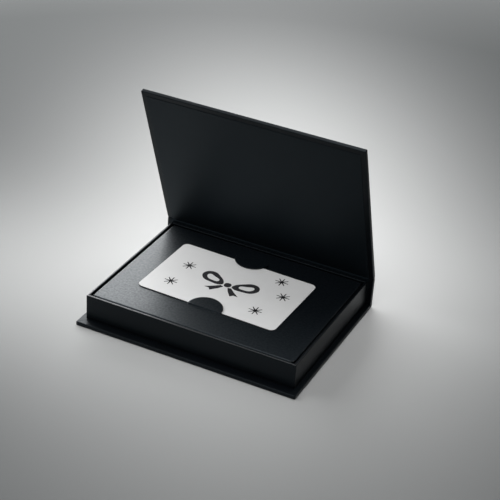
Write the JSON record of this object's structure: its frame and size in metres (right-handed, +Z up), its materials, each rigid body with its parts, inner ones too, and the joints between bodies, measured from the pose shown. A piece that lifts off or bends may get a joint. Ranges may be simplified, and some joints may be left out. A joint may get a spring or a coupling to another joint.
{
  "type": "gift card holder",
  "caption": "Book-style rigid paperboard gift card holder with a hinged lid, a tray and half-moon tabs that hold a card on a platform.",
  "frame": {"origin": "bottom centre of the case, on the surface that it rests on", "axes": "+X along the spine to the right as seen from the front, +Y towards the spine, +Z up"},
  "size_m": [0.1334, 0.1046, 0.1168],
  "materials": {
    "cover_paper": "satin",
    "liner_paper": "satin",
    "insert_card": "satin",
    "stay_paper": "matte",
    "grey_board": "matte",
    "card_plastic": "satin",
    "magnet": "polished"
  },
  "bodies": {
    "case": {"base_board": "grey_board", "base_wrap": "cover_paper", "spine_board": "grey_board", "spine_wrap": "cover_paper", "spine_liner": "liner_paper", "hinge_wrap": "cover_paper", "hinge_liner": "liner_paper", "tray_front_board": "grey_board", "tray_rear_board": "grey_board", "tray_left_board": "grey_board", "tray_right_board": "grey_board", "tray_floor_board": "grey_board", "corner_stays": "stay_paper", "tray_wrap": "cover_paper", "insert_platform": "insert_card", "tray_magnets": "magnet"},
    "lid": {"lid_board": "grey_board", "lid_wrap": "cover_paper", "lid_liner": "liner_paper", "lid_magnets": "magnet"},
    "card": {"gift_card": "card_plastic"},
    "front_tab": {"front_tab": "insert_card"},
    "rear_tab": {"rear_tab": "insert_card"}
  },
  "joints": [
    {"name": "lid_hinge", "type": "hinge", "parent": "case", "child": "lid", "pos_m": [0, 0.05105, 0.0198], "axis": [-1, 0, 0], "range_deg": [-69.3, 110.7], "deforming": ["hinge_wrap", "hinge_liner", "front_tab", "rear_tab"]},
    {"name": "card_slide", "type": "slide", "parent": "case", "child": "card", "axis": [0.9997, -0.0244, 0], "range_m": [-0.0155, 0.0205]},
    {"name": "front_tab_bend", "type": "hinge", "parent": "case", "child": "front_tab", "pos_m": [-0.00235, -0.0244, 0.017], "axis": [1, 0, 0], "range_deg": [0, 60], "stiffness_Nm_per_rad": 0.0004},
    {"name": "rear_tab_bend", "type": "hinge", "parent": "case", "child": "rear_tab", "pos_m": [-0.00235, 0.03515, 0.017], "axis": [-1, 0, 0], "range_deg": [0, 60], "stiffness_Nm_per_rad": 0.0004}
  ]
}
